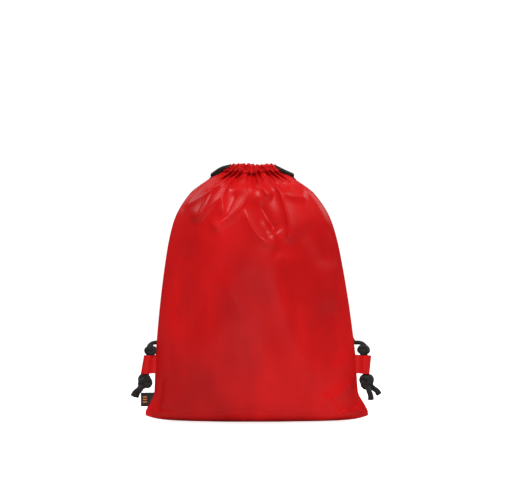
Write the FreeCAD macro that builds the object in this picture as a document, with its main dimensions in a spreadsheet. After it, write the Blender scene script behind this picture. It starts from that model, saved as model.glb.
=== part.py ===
"""Drawstring backpack, stuffed full and standing upright.

Millimetres. The origin is the centre of the flat bottom, +Z is up, the front faces -Y and +X is
the right-hand side as seen from the front. The side and bottom seams lie in the plane y = 0.
"""
import FreeCAD, Part
import Sketcher
import math
import os
from FreeCAD import Placement, Rotation, Vector

doc = FreeCAD.newDocument("drawstring_backpack")
sizes = doc.addObject("Spreadsheet::Sheet", "sizes")
RIGHT, LEFT = 1, -1
FRONT, BACK = -1, 1
NODES = []


# ---------------------------------------------------------------- driving dimensions

def put(**values):
    """Write named driving dimensions, one row of the sheet each."""
    for alias, value in values.items():
        row = len(sizes.getUsedCells()) // 2 + 1
        sizes.set(f"A{row}", alias)
        sizes.set(f"B{row}", str(value))
        sizes.setAlias(f"B{row}", alias)


def station(name, height, half_width, half_depth):
    """One horizontal section of the stuffed bag."""
    put(**{f"{name}_height": height, f"{name}_half_width": half_width, f"{name}_half_depth": half_depth})


STATIONS = ("base", "ear", "heel", "belly", "flank", "shoulder", "yoke", "neck")
station("base", 0, 148, 42)
station("ear", 12, 169, 54)
station("heel", 21, 158, 60)
station("belly", 108, 151, 71)
station("flank", 229, 136, 67)
station("shoulder", 300, 121, 53)
station("yoke", 345, 95, 32)
station("neck", 371, 61, 12.5)
put(neck_lean=-8, wall=0.8)
put(allowance_inset=6, allowance_width=8, allowance_thickness=1.2)
put(cord_diameter=5.8, cord_pitch=6.2)
put(mouth_half=37, mouth_centre=-7, channel_rise=19, channel_depth=11.5, channel_wall=1.6)
put(channel_gap=1.5, channel_rounding=5, stitch_thickness=0.6)
put(seam_reach=154, tab_gap=2, tab_length=15.5, tab_half_depth=4.6, tab_wall=1)
put(tab_bottom=74, tab_rise=25, bartack_width=1.4)
put(upper_knot_height=109.5, upper_knot_radius=8.5, upper_knot_half_rise=9)
put(lower_knot_height=60, lower_knot_reach=14.5, lower_knot_radius=10.5, lower_knot_half_rise=12)
put(tail_length=18, tail_clearance=2.2, tail_pitch=7)
put(left_front_tail_angle=38, left_rear_tail_angle=30, right_front_tail_angle=12, right_rear_tail_angle=44)
put(label_reach=16, label_rise=20.5, label_bottom=22.5, label_thickness=1.2, label_root=160.3)
put(strap_depth=94, strap_inset=38, strap_low=78, strap_spread=4, strap_start=25.5)
doc.recompute()


def size(alias):
    """Read one driving dimension."""
    return float(sizes.get(alias))


def bind(target, **expressions):
    """Bind properties to the sheet; every word that is a driving dimension is looked up there."""
    for name, expression in expressions.items():
        target.setExpression(name.replace("__", "."), cells(expression))


def cells(expression):
    """Turn 'wall*2' into 'sizes.wall*2'."""
    words = "".join(c if c.isalnum() or c == "_" else " " for c in expression).split()
    for word in sorted(set(words), key=len, reverse=True):
        if sizes.getCellFromAlias(word):
            expression = replace_word(expression, word)
    return expression


def replace_word(expression, word):
    """Prefix whole-word uses of one alias."""
    parts = expression.split(word)
    text = parts[0]
    for part in parts[1:]:
        before = text[-1:] or " "
        after = part[:1] or " "
        whole = not (before.isalnum() or before in "_.") and not (after.isalnum() or after == "_")
        text += ("sizes." if whole else "") + word + part
    return text


def export_as(obj, node):
    """Name a sub-part and add it to the list that is written out."""
    obj.Label = node
    NODES.append(obj)
    return obj


def lean_at(height):
    """Sideways lean of the bag's middle, growing evenly to the neck."""
    return f"neck_lean*{height}/neck_height"


TAB_MIDDLE = "(seam_reach + tab_gap + tab_length/2)"
TAB_LEAN = "neck_lean*(tab_bottom + tab_rise/2)/neck_height"


# ---------------------------------------------------------------- PartDesign helpers

def new_body(node):
    body = doc.addObject("PartDesign::Body", node)
    return export_as(body, node)


def new_sketch(body, role, name):
    """A sketch on one of the body's own origin planes."""
    sketch = body.newObject("Sketcher::SketchObject", name)
    plane = next(feature for feature in body.Origin.OriginFeatures if feature.Role == role)
    sketch.AttachmentSupport = (plane, [""])
    sketch.MapMode = "FlatFace"
    return sketch


def constrain(sketch, expression, *rule):
    """Add a dimension and bind it to the sheet."""
    index = sketch.addConstraint(Sketcher.Constraint(*rule))
    sketch.setExpression(f"Constraints[{index}]", cells(expression))


def pad(body, sketch, name, length, symmetric=True):
    feature = body.newObject("PartDesign::Pad", name)
    feature.Profile = sketch
    feature.SideType = "Symmetric" if symmetric else "One side"
    bind(feature, Length=length)
    return feature


def pocket_through(body, sketch, name):
    """Cut a closed profile right through the body, both ways from its sketch."""
    feature = body.newObject("PartDesign::Pocket", name)
    feature.Profile = sketch
    feature.SideType = "Symmetric"
    feature.Type = "ThroughAll"
    return feature


def slot_outline(sketch, radius, spacing):
    """Two half circles of one radius, their centres spacing apart about the origin, and two lines."""
    r = 4.0
    half = 5.0
    middle = Vector(0, 0, 1)
    ends = (
        Part.ArcOfCircle(Part.Circle(Vector(half, 0, 0), middle, r), -math.pi / 2, math.pi / 2),
        Part.ArcOfCircle(Part.Circle(Vector(-half, 0, 0), middle, r), math.pi / 2, 1.5 * math.pi),
    )
    for arc in ends:
        sketch.addGeometry(arc, False)
    sketch.addGeometry(Part.LineSegment(Vector(half, r, 0), Vector(-half, r, 0)), False)
    sketch.addGeometry(Part.LineSegment(Vector(-half, -r, 0), Vector(half, -r, 0)), False)
    for rule in ((0, 2, 2, 1), (2, 2, 1, 1), (1, 2, 3, 1), (3, 2, 0, 1)):
        sketch.addConstraint(Sketcher.Constraint("Tangent", *rule))
    sketch.addConstraint(Sketcher.Constraint("Equal", 0, 1))
    sketch.addConstraint(Sketcher.Constraint("Symmetric", 0, 3, 1, 3, -1, 1))
    sketch.addConstraint(Sketcher.Constraint("PointOnObject", 0, 3, -1))
    constrain(sketch, radius, "Radius", 0, r)
    constrain(sketch, spacing, "DistanceX", 1, 3, 0, 3, 2 * half)


def rectangle(sketch, width, height):
    """A rectangle centred on the sketch's origin."""
    corners = [Vector(-2, -3, 0), Vector(2, -3, 0), Vector(2, 3, 0), Vector(-2, 3, 0)]
    for start, end in zip(corners, corners[1:] + corners[:1]):
        sketch.addGeometry(Part.LineSegment(start, end), False)
    for line in range(4):
        sketch.addConstraint(Sketcher.Constraint("Coincident", line, 2, (line + 1) % 4, 1))
        sketch.addConstraint(Sketcher.Constraint("Vertical" if line % 2 else "Horizontal", line))
    sketch.addConstraint(Sketcher.Constraint("Symmetric", 0, 1, 2, 1, -1, 1))
    constrain(sketch, width, "DistanceX", 0, 1, 0, 2, 4)
    constrain(sketch, height, "DistanceY", 1, 1, 1, 2, 6)


# ---------------------------------------------------------------- fabric shell

def shell_section(body, name, side, inside):
    """Half of a lens: an arc from seam to seam and its chord, at one station's height.

    The arc's radius follows from half width a and half depth b as (a^2 + b^2) / 2b. The inside
    section has the same centre and a radius smaller by the cloth's thickness.
    """
    a = f"{name}_half_width"
    b = f"{name}_half_depth"
    radius = f"({a}^2 + {b}^2)/(2*{b})"
    sketch = new_sketch(body, "XY_Plane", f"{name}_{'inside' if inside else 'outside'}_{body.Name}")
    half = size(a)
    depth = size(b)
    r = (half ** 2 + depth ** 2) / (2 * depth)
    drop = r - depth
    chord = f"2*{a}"
    if inside:
        radius = f"{radius} - wall"
        chord = f"2*sqrt(({radius})^2 - ({radius} + wall - {b})^2)"
        r -= size("wall")
        half = math.sqrt(r ** 2 - drop ** 2)
    circle = Part.Circle(Vector(0, drop, 0), Vector(0, 0, 1), r)
    arc = Part.ArcOfCircle(circle, math.atan2(-drop, -half), math.atan2(-drop, half))
    sketch.addGeometry(arc, False)
    sketch.addGeometry(Part.LineSegment(Vector(-half, 0, 0), Vector(half, 0, 0)), False)
    sketch.addConstraint(Sketcher.Constraint("Coincident", 0, 1, 1, 1))
    sketch.addConstraint(Sketcher.Constraint("Coincident", 0, 2, 1, 2))
    sketch.addConstraint(Sketcher.Constraint("Symmetric", 1, 1, 1, 2, -1, 1))
    sketch.addConstraint(Sketcher.Constraint("PointOnObject", 1, 2, -1))
    constrain(sketch, chord, "DistanceX", 1, 1, 1, 2, 2 * half)
    constrain(sketch, radius, "Radius", 0, r)
    rise = {"base": " + wall", "neck": " + 1"}.get(name, "") if inside else ""
    sign = "-1*" if side == BACK else ""
    sketch.setExpression("AttachmentOffset.Base.x", cells(sign + lean_at(f"{name}_height")))
    sketch.setExpression("AttachmentOffset.Base.z", cells(f"{name}_height{rise}"))
    return sketch


def half_shell(node, side):
    """One fabric panel, stuffed: a ruled loft through the stations, hollowed, open at the neck."""
    body = new_body(node)
    outside = [shell_section(body, name, side, False) for name in STATIONS]
    doc.recompute()
    loft = body.newObject("PartDesign::AdditiveLoft", f"{node}_outside")
    loft.Profile = outside[0]
    loft.Sections = outside[1:]
    loft.Ruled = True
    inside = [shell_section(body, name, side, True) for name in STATIONS]
    doc.recompute()
    hollow = body.newObject("PartDesign::SubtractiveLoft", f"{node}_inside")
    hollow.Profile = inside[0]
    hollow.Sections = inside[1:]
    hollow.Ruled = True
    if side == BACK:
        body.Placement = Placement(Vector(0, 0, 0), Rotation(Vector(0, 0, 1), 180))


def side_allowance(node, side):
    """The two overlocked edges of a side seam, pressed together inside the bag."""
    names = STATIONS[STATIONS.index("heel"):]
    body = new_body(node)
    sketch = new_sketch(body, "XZ_Plane", f"{node}_outline")
    lean = "-1*" if side == LEFT else ""
    edge = [(name, "allowance_inset") for name in names]
    edge += [(name, "allowance_inset + allowance_width") for name in reversed(names)]
    points = []
    for name, inset in edge:
        shift = (1 if side == RIGHT else -1) * size("neck_lean") * size(f"{name}_height") / size("neck_height")
        depth = 14 if "width" in inset else 6
        points.append(Vector(size(f"{name}_half_width") + shift - depth, size(f"{name}_height"), 0))
    for start, end in zip(points, points[1:] + points[:1]):
        sketch.addGeometry(Part.LineSegment(start, end), False)
    for line in range(len(points)):
        sketch.addConstraint(Sketcher.Constraint("Coincident", line, 2, (line + 1) % len(points), 1))
    for line, (name, inset) in enumerate(edge):
        across = f"{name}_half_width + {lean}{lean_at(name + '_height')} - ({inset})"
        constrain(sketch, across, "DistanceX", -1, 1, line, 1, points[line].x)
        constrain(sketch, f"{name}_height", "DistanceY", -1, 1, line, 1, points[line].y)
    pad(body, sketch, f"{node}_strip", "allowance_thickness")
    if side == LEFT:
        body.Placement = Placement(Vector(0, 0, 0), Rotation(Vector(0, 0, 1), 180))


def bottom_allowance():
    """The overlocked bottom seam, standing up inside the bag."""
    strip = export_as(doc.addObject("Part::Box", "bottom_allowance"), "bottom_seam_allowance")
    bind(
        strip,
        Length="2*(base_half_width - 4*allowance_inset)",
        Width="allowance_thickness",
        Height="allowance_width",
        Placement__Base__x="4*allowance_inset - base_half_width",
        Placement__Base__y="-allowance_thickness/2",
        Placement__Base__z="2*wall",
    )


# ---------------------------------------------------------------- mouth

CHANNEL_HEIGHT = "(neck_height + channel_gap + channel_rise/2)"
CHANNEL_REACH = "(channel_gap + channel_depth/2)"


def cord_channel(node, side):
    """A gathered hem: a flat tube along X with a slot through it for the cords."""
    body = new_body(node)
    outline = new_sketch(body, "YZ_Plane", f"{node}_outline")
    rectangle(outline, "channel_depth", "channel_rise")
    tube = pad(body, outline, f"{node}_block", "2*mouth_half")
    doc.recompute()
    long_edges = [
        f"Edge{i + 1}" for i, edge in enumerate(tube.Shape.Edges)
        if edge.BoundBox.XLength > size("mouth_half")
    ]
    rounding = body.newObject("PartDesign::Fillet", f"{node}_rounding")
    rounding.Base = (tube, long_edges)
    bind(rounding, Radius="channel_rounding")
    doc.recompute()
    bore = new_sketch(body, "YZ_Plane", f"{node}_bore_outline")
    rectangle(bore, "channel_depth - 2*channel_wall", "channel_rise - 2*channel_wall")
    pocket_through(body, bore, f"{node}_bore")
    bind(
        body,
        Placement__Base__x="mouth_centre",
        Placement__Base__y=f"{side}*{CHANNEL_REACH}",
        Placement__Base__z=CHANNEL_HEIGHT,
    )


def channel_stitching(node, side):
    """The thread that closes the hem, along its lower edge."""
    thread = export_as(doc.addObject("Part::Box", node), node)
    outer = "channel_gap + channel_depth + 0.2"
    bind(
        thread,
        Length="2*mouth_half - 4",
        Width="stitch_thickness",
        Height="stitch_thickness",
        Placement__Base__x="mouth_centre - mouth_half + 2",
        Placement__Base__y=outer if side == BACK else f"-({outer}) - stitch_thickness",
        Placement__Base__z="neck_height + channel_gap + channel_rounding",
    )


def cord_run(node, side, level):
    """The straight length of a cord inside one channel."""
    run = export_as(doc.addObject("Part::Cylinder", node), node)
    run.Placement = Placement(Vector(0, 0, 0), Rotation(Vector(0, 1, 0), 90))
    bind(
        run,
        Radius="cord_diameter/2",
        Height="2*mouth_half",
        Placement__Base__x="mouth_centre - mouth_half",
        Placement__Base__y=f"{side}*{CHANNEL_REACH}",
        Placement__Base__z=f"{CHANNEL_HEIGHT} + {level}*cord_pitch/2",
    )


def cord_bight(node, end, level):
    """The half turn where a cord leaves one channel and enters the other."""
    bight = export_as(doc.addObject("Part::Torus", node), node)
    bight.Angle3 = 180
    bight.Placement = Placement(Vector(0, 0, 0), Rotation(Vector(0, 0, 1), -90 * end))
    bind(
        bight,
        Radius1=CHANNEL_REACH,
        Radius2="cord_diameter/2",
        Placement__Base__x=f"mouth_centre + {end}*(mouth_half + 1)",
        Placement__Base__z=f"{CHANNEL_HEIGHT} + {level}*cord_pitch/2",
    )


# ---------------------------------------------------------------- cords outside the channels

def swept_cord(node, points):
    """A round cord along a smooth curve through the points."""
    curve = Part.BSplineCurve()
    curve.interpolate(points)
    path = doc.addObject("Part::Feature", f"{node}_path")
    path.Shape = curve.toShape()
    profile = doc.addObject("Part::Circle", f"{node}_profile")
    profile.Placement = Placement(points[0], Rotation(Vector(0, 0, 1), curve.tangent(0)[0]))
    bind(profile, Radius="cord_diameter/2")
    cord = doc.addObject("Part::Sweep", node)
    cord.Sections = [profile]
    cord.Spine = (path, ["Edge1"])
    cord.Solid = True
    export_as(cord, node)


def exit_reach(side):
    """Distance from x = 0 to the end of the channels on one side."""
    return size("mouth_half") + side * size("mouth_centre")


def cord_level(side):
    """Height at which a cord leaves the channels: the left cord lies above the right cord."""
    middle = size("neck_height") + size("channel_gap") + size("channel_rise") / 2
    return middle - side * size("cord_pitch") / 2


def strap_head(side):
    """Upper end of a strap's swing line, beside the neck, with side as +X."""
    return Vector(exit_reach(side) + size("strap_start"), 9, size("neck_height"))


def strap_foot(side):
    """Lower end of a strap's swing line, the middle of the upper knot, with side as +X."""
    lean = side * size("neck_lean") * (size("tab_bottom") + size("tab_rise") / 2) / size("neck_height")
    across = size("seam_reach") + size("tab_gap") + size("tab_length") / 2 + lean
    return Vector(across, 0, size("upper_knot_height"))


def lead_points(side, face):
    """From the channel's end round to the place where the two strands of a strap meet."""
    reach = exit_reach(side)
    level = cord_level(side)
    head = strap_head(side)
    across = face * (size("channel_gap") + size("channel_depth") / 2)
    start = Vector(reach + 2, across, level)
    if face == FRONT:
        points = [start, Vector(reach + 11, across + 2, level - 0.3), head + Vector(-6.5, -4.5, 5)]
    else:
        points = [start, Vector(reach + 10, across + 3, level - 0.7), head + Vector(-7.5, 2, 1.5)]
    return [Vector(side * point.x, point.y, point.z) for point in points]


def strap_points(side, face):
    """The slack strap: over the bag's shoulder, down behind it, and up into the upper knot.

    It starts on its swing line, so that its upper end stays put as it swings, and it bows far
    enough behind that line to pass the bag's shoulder.
    """
    head = strap_head(side)
    foot = strap_foot(side)
    along = (foot - head).normalize()
    depth = size("strap_depth")
    inset = size("strap_inset")
    low = size("strap_low")
    spread = size("strap_spread") * face
    beside = Vector(1.3 * spread, 0, 0)
    apart = Vector(spread, spread, 0)
    points = [
        head + along * spread,
        head + Vector(-1, 13, -9) + along * spread,
        Vector(inset + 18, 0.55 * depth, size("yoke_height") - 22) + beside,
        Vector(inset, 0.95 * depth, size("flank_height")) + apart,
        Vector(inset + 4, depth, low + 70) + apart,
        Vector(inset + 44, 0.98 * depth, low) + apart,
        Vector(foot.x - 38, 0.70 * depth, low + 22) + apart,
        Vector(foot.x - 18, 0.40 * depth, foot.z + 20) + apart,
        foot + Vector(-8, 13, 14) + 0.8 * apart,
    ]
    return [Vector(side * point.x, point.y, point.z) for point in points]


# ---------------------------------------------------------------- side tabs, knots and tails

def tab_loop(node, side):
    """A band of shell fabric folded into a loop round the two cords, its ends in the side seam."""
    body = new_body(node)
    outline = new_sketch(body, "XY_Plane", f"{node}_outline")
    slot_outline(outline, "tab_half_depth", "tab_length - 2*tab_half_depth")
    pad(body, outline, f"{node}_band", "tab_rise", symmetric=False)
    opening = new_sketch(body, "XY_Plane", f"{node}_opening_outline")
    slot_outline(opening, "tab_half_depth - tab_wall", "tab_length - 2*tab_half_depth")
    pocket_through(body, opening, f"{node}_opening")
    bind(
        body,
        Placement__Base__x=f"{side}*(seam_reach + tab_gap + tab_length/2) + {TAB_LEAN}",
        Placement__Base__z="tab_bottom",
    )


def tab_bartack(node, side):
    """The bar tack that closes the loop where it leaves the seam."""
    tack = export_as(doc.addObject("Part::Box", node), node)
    start = "seam_reach + tab_gap - bartack_width - 0.2"
    bind(
        tack,
        Length="bartack_width",
        Width="tab_half_depth/2",
        Height="tab_rise - 2",
        Placement__Base__x=(start if side == RIGHT else f"-({start}) - bartack_width") + f" + {TAB_LEAN}",
        Placement__Base__y="-tab_half_depth/4",
        Placement__Base__z="tab_bottom + 1",
    )


def tab_cord(node, side):
    """The doubled cord inside the tab loop, between the two knots."""
    strands = []
    for offset in (-1, 1):
        strand = doc.addObject("Part::Cylinder", f"{node}_strand_{offset + 2}")
        bind(
            strand,
            Radius="cord_diameter/2",
            Height="tab_rise + 1.4",
            Placement__Base__x=f"{side}*{TAB_MIDDLE} + {offset}*cord_pitch/2 + {TAB_LEAN}",
            Placement__Base__z="tab_bottom - 0.7",
        )
        strands.append(strand)
    pair = doc.addObject("Part::Compound", node)
    pair.Links = strands
    export_as(pair, node)


def knot(node, side, which, reach):
    """An overhand knot in the doubled cord, as one closed rounded solid."""
    ball = export_as(doc.addObject("Part::Ellipsoid", node), node)
    bind(
        ball,
        Radius1=f"{which}_knot_half_rise",
        Radius2=f"{which}_knot_radius",
        Radius3=f"{which}_knot_radius",
        Placement__Base__x=f"{side}*(seam_reach + {reach}) + {TAB_LEAN}",
        Placement__Base__z=f"{which}_knot_height",
    )


def cord_tail(node, side, face):
    """A cut cord end, pointing down and outwards from the middle of the lower knot."""
    tail = export_as(doc.addObject("Part::Cylinder", node), node)
    angle = f"{node}_angle"
    start = "(lower_knot_half_rise + tail_clearance + tail_length)"
    tail.Placement = Placement(Vector(0, 0, 0), Rotation(Vector(0, -side, 0), size(angle)))
    bind(
        tail,
        Radius="cord_diameter/2",
        Height="tail_length",
        Placement__Rotation__Angle=angle,
        Placement__Base__x=f"{side}*(seam_reach + lower_knot_reach + sin({angle})*{start}) + {TAB_LEAN}",
        Placement__Base__y=f"{face}*tail_pitch/2",
        Placement__Base__z=f"lower_knot_height - cos({angle})*{start}",
    )


def woven_label():
    """A small folded label, its cut ends held in the left side seam."""
    label = export_as(doc.addObject("Part::Box", "woven_label"), "woven_label")
    bind(
        label,
        Length="label_reach",
        Width="label_thickness",
        Height="label_rise",
        Placement__Base__x="-label_root - label_reach",
        Placement__Base__y="-label_thickness/2",
        Placement__Base__z="label_bottom",
    )


# ---------------------------------------------------------------- the whole bag

half_shell("front_panel", FRONT)
half_shell("back_panel", BACK)
side_allowance("left_seam_allowance", LEFT)
side_allowance("right_seam_allowance", RIGHT)
bottom_allowance()

for face_name, face in (("front", FRONT), ("back", BACK)):
    cord_channel(f"{face_name}_cord_channel", face)
    channel_stitching(f"{face_name}_channel_stitching", face)

for side_name, side in (("left", LEFT), ("right", RIGHT)):
    # the left cord lies above the right cord in the channels, except where it leaves them
    for face_name, face in (("front", FRONT), ("rear", BACK)):
        cord_run(f"{side_name}_cord_{face_name}_run", face, -side)
        swept_cord(f"{side_name}_cord_{face_name}_lead", lead_points(side, face))
        swept_cord(f"{side_name}_strap_{face_name}_strand", strap_points(side, face))
        cord_tail(f"{side_name}_{face_name}_tail", side, face)
    cord_bight(f"{side_name}_cord_bight", -side, -side)
    tab_loop(f"{side_name}_tab_loop", side)
    tab_bartack(f"{side_name}_tab_bartack", side)
    tab_cord(f"{side_name}_tab_cord", side)
    knot(f"{side_name}_upper_knot", side, "upper", "tab_gap + tab_length/2")
    knot(f"{side_name}_lower_knot", side, "lower", "lower_knot_reach")
woven_label()
doc.recompute()


# ---------------------------------------------------------------- checks and export

def check_document():
    """Stop if any object failed or any sub-part has no valid shape."""
    for obj in doc.Objects:
        if "Invalid" in obj.State or "Error" in obj.State:
            raise RuntimeError(f"{obj.Label} failed: {obj.State}")
    for obj in NODES:
        if obj.Shape.isNull() or not obj.Shape.isValid() or obj.Shape.Volume <= 0:
            raise RuntimeError(f"{obj.Label} has no valid solid")


check_document()
os.makedirs("parts", exist_ok=True)
for obj in NODES:
    obj.Shape.exportStep(f"parts/{obj.Label}.step")
print(len(NODES), "sub-parts written")
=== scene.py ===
"""Looks of the drawstring backpack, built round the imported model. Metres; +Z up, the front faces -Y."""

import math

import bpy
import numpy as np
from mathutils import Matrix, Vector


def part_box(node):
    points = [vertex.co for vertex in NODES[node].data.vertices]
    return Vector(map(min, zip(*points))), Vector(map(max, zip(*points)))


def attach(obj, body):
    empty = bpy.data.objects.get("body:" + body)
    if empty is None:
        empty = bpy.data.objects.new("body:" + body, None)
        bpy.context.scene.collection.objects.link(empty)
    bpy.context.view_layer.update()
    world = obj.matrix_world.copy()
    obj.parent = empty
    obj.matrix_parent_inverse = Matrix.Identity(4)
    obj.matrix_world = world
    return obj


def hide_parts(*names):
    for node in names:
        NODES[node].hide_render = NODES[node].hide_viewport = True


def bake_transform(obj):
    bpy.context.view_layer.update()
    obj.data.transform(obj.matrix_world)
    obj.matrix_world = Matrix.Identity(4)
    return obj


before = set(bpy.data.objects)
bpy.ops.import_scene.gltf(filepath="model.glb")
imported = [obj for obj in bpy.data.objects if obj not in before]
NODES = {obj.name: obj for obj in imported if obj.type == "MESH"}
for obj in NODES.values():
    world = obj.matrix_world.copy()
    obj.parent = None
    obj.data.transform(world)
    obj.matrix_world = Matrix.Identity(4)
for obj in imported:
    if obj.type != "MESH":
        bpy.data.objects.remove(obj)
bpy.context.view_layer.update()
SCENE = bpy.context.scene
MM = 0.001
FRONT, BACK = -1, 1
LEFT, RIGHT = -1, 1
rng = np.random.default_rng(11)


# -------- what the frame says

def node_points(node):
    """All vertices of a CAD node, at rest."""
    mesh = NODES[node].data
    points = np.empty(len(mesh.vertices) * 3)
    mesh.vertices.foreach_get("co", points)
    return points.reshape(-1, 3)


def smooth_curve(xs, ys):
    """A curve through a few points with no overshoot (cubic Hermite, harmonic slopes)."""
    xs, ys = np.asarray(xs, float), np.asarray(ys, float)
    step = np.diff(xs)
    slope = np.diff(ys) / step
    tangent = np.zeros_like(ys)
    tangent[0], tangent[-1] = slope[0], slope[-1]
    for i in range(1, len(xs) - 1):
        if slope[i - 1] * slope[i] > 0:
            weight_a, weight_b = 2 * step[i] + step[i - 1], step[i] + 2 * step[i - 1]
            tangent[i] = (weight_a + weight_b) / (weight_a / slope[i - 1] + weight_b / slope[i])

    def value(x):
        x = np.clip(x, xs[0], xs[-1])
        k = np.clip(np.searchsorted(xs, x, side="right") - 1, 0, len(xs) - 2)
        t = (x - xs[k]) / step[k]
        rise = (1 + 2 * t) * (1 - t) ** 2 * ys[k] + t * t * (3 - 2 * t) * ys[k + 1]
        return rise + t * (1 - t) ** 2 * step[k] * tangent[k] - t * t * (1 - t) * step[k] * tangent[k + 1]

    return value


def shell_profile():
    """Left edge, right edge and front depth of the bag by height, and its neck, from the CAD front panel."""
    points = node_points("front_panel")
    heights = np.unique(np.round(points[np.abs(points[:, 1]) < 0.3 * MM][:, 2], 4))
    rows = []
    for height in heights:
        ring = points[np.abs(points[:, 2] - height) < 0.1 * MM]
        if len(ring) > 6 and (not rows or height - rows[-1][0] > 3 * MM):
            rows.append((height, ring[:, 0].min(), ring[:, 0].max(), -ring[:, 1].min()))
    stations, *measured = zip(*rows)
    return *(smooth_curve(stations, values) for values in measured), stations[-1]


left_edge, right_edge, front_depth, NECK = shell_profile()
CHANNEL_LOW, CHANNEL_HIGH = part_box("front_cord_channel")
MOUTH_CENTRE = (CHANNEL_LOW.x + CHANNEL_HIGH.x) / 2
MOUTH_HALF = (CHANNEL_HIGH.x - CHANNEL_LOW.x) / 2
LIP_REACH = -CHANNEL_LOW.y


# -------- sizes and colours

SIDES = (("left", LEFT), ("right", RIGHT))
COLUMNS, ROWS = 120, 104  # of the simulated panels
CLOTH_WIDTH, CLOTH_HEIGHT = 0.360, 0.436  # of a panel's flat pattern
START_DEPTH = 0.97  # share of the CAD depth that the simulation starts from
BASE_ROUND = 14 * MM  # how gently the cloth turns up from the floor
EAR_HEIGHT = 9 * MM  # of the bottom corners above the floor
PRESSURE, SIM_FRAMES = 3.0, 30
PLEATS = 11
RING_HEIGHT = NECK + 8 * MM  # the foot of the hem channel
RING_HALF = MOUTH_HALF + 9 * MM
LIP_DROP = 46 * MM  # how far down the cloth follows the front lip
CHANNEL_BULGE = 3.0 * MM
CHANNEL_CLOTH = 0.5 * MM
RIDGE_GAIN = 1.15
SWELL_COUNT = 26
STITCH_LENGTH, STITCH_GAP, STITCH_RADIUS = 2.2 * MM, 1.1 * MM, 0.27 * MM
CORD_RADIUS = 2.9 * MM
HIDDEN_RADIUS = 2.0 * MM  # of cords in the channel, clear of its pleats
DOUBLED_RADIUS = 2.6 * MM  # of each cord inside a tab
TAIL_RADIUS = 3.9 * MM
CORD_SIDES = 24
BRAID_PITCH = 7.2 * MM
TAB_LEAN = 4 * MM
RED, DEEP_RED = (0.65, 0.0070, 0.0080), (0.45, 0.0044, 0.0052)
BLACK, SOFT_BLACK = (0.008, 0.008, 0.0075), (0.020, 0.018, 0.016)
RIBBON_BLACK, RIBBON_GREY = (0.007, 0.007, 0.008), (0.022, 0.021, 0.021)
ORANGE, PALE_ORANGE = (0.62, 0.16, 0.02), (0.75, 0.26, 0.06)
AMBIENT, MIRRORED = 0.17, 0.03  # the surroundings as light, and in reflections


def smoothstep(low, high, x):
    t = np.clip((x - low) / (high - low), 0, 1)
    return t * t * (3 - 2 * t)


def bump(x):
    """A smooth hill: 1 at 0, falling to 0 at 1 and beyond, on both sides."""
    return np.clip(1 - np.asarray(x, float) ** 2, 0, 1) ** 2


def ease(values, axes=1):
    """Smooth in place along the first axis, or the first two; the edges stay."""
    for axis in range(axes):
        line = np.swapaxes(values, 0, axis)
        line[1:-1] = 0.5 * line[1:-1] + 0.25 * (line[:-2] + line[2:])


def grid_shares(rows, columns):
    """Where the points of a panel's grid stand: across, from -1 to 1, and up, from 0 to 1."""
    return np.linspace(-1, 1, columns)[None, :], np.linspace(0, 1, rows)[:, None]


def distances(route):
    """How far along a route each of its points lies."""
    return np.concatenate([[0], np.cumsum(np.linalg.norm(np.diff(route, axis=0), axis=1))])


def sampled(values, run, at):
    """What a route's values, one row a point, come to at some distances along it."""
    return np.stack([np.interp(at, run, column) for column in values.T], axis=1)


# -------- meshes and materials

def add_object(name, points, faces, material):
    """A smooth-shaded mesh object from points and faces."""
    mesh = bpy.data.meshes.new(name)
    corners = [tuple(map(int, face)) for face in faces]
    mesh.from_pydata([tuple(map(float, point)) for point in points], [], corners)
    mesh.validate()
    mesh.polygons.foreach_set("use_smooth", [True] * len(mesh.polygons))
    if material:
        mesh.materials.append(material)
    mesh.update()
    piece = bpy.data.objects.new(name, mesh)
    SCENE.collection.objects.link(piece)
    return piece


def grid_faces(ids, flip=False):
    """Quads over a grid of vertex ids."""
    quads = np.stack([ids[:-1, :-1], ids[:-1, 1:], ids[1:, 1:], ids[1:, :-1]], axis=-1).reshape(-1, 4)
    return [tuple(quad[::-1] if flip else quad) for quad in quads.tolist()]


def grid_normals(grid, flip):
    """Unit normals of a grid surface."""
    normal = np.cross(np.gradient(grid, axis=1), np.gradient(grid, axis=0))
    normal /= np.maximum(np.linalg.norm(normal, axis=2, keepdims=True), 1e-12)
    return -normal if flip else normal


def refined(grid):
    """Twice as many points both ways, on a smooth surface through the same points."""
    for axis in (0, 1):
        grid = np.moveaxis(grid, axis, 0)
        before = np.concatenate([2 * grid[:1] - grid[1:2], grid[:-1]])[:-1]
        after = np.concatenate([grid[1:], 2 * grid[-1:] - grid[-2:-1]])[1:]
        middle = (9 * (grid[:-1] + grid[1:]) - before - after) / 16
        finer = np.empty((2 * len(grid) - 1,) + grid.shape[1:])
        finer[0::2] = grid
        finer[1::2] = middle
        grid = np.moveaxis(finer, 0, axis)
    return grid


def cloth_sheet(name, grid, material, flip=False, thickness=0.6 * MM, columns=slice(None), cut=None):
    """A grid as cloth with real thickness, inwards. cut names the end, "first" or "last", that has no rim."""
    normal = grid_normals(grid, flip)[:, columns]
    outer = grid[:, columns]
    inner = outer - normal * thickness
    rows, count = outer.shape[:2]
    ids = np.arange(rows * count).reshape(rows, count)
    under = ids + rows * count
    faces = grid_faces(ids, flip) + grid_faces(under, not flip)
    rims = [(ids[0], under[0]), (under[-1], ids[-1])]
    if cut != "first":
        rims.append((under[:, 0], ids[:, 0]))
    if cut != "last":
        rims.append((ids[:, -1], under[:, -1]))
    for top, bottom in rims:
        faces += grid_faces(np.stack([top, bottom]), not flip)
    points = np.concatenate([outer.reshape(-1, 3), inner.reshape(-1, 3)])
    piece = add_object(name, points, faces, material)
    normals = np.concatenate([normal.reshape(-1, 3), -normal.reshape(-1, 3)])
    piece.data.normals_split_custom_set_from_vertices([tuple(n) for n in normals])
    return piece


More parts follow.
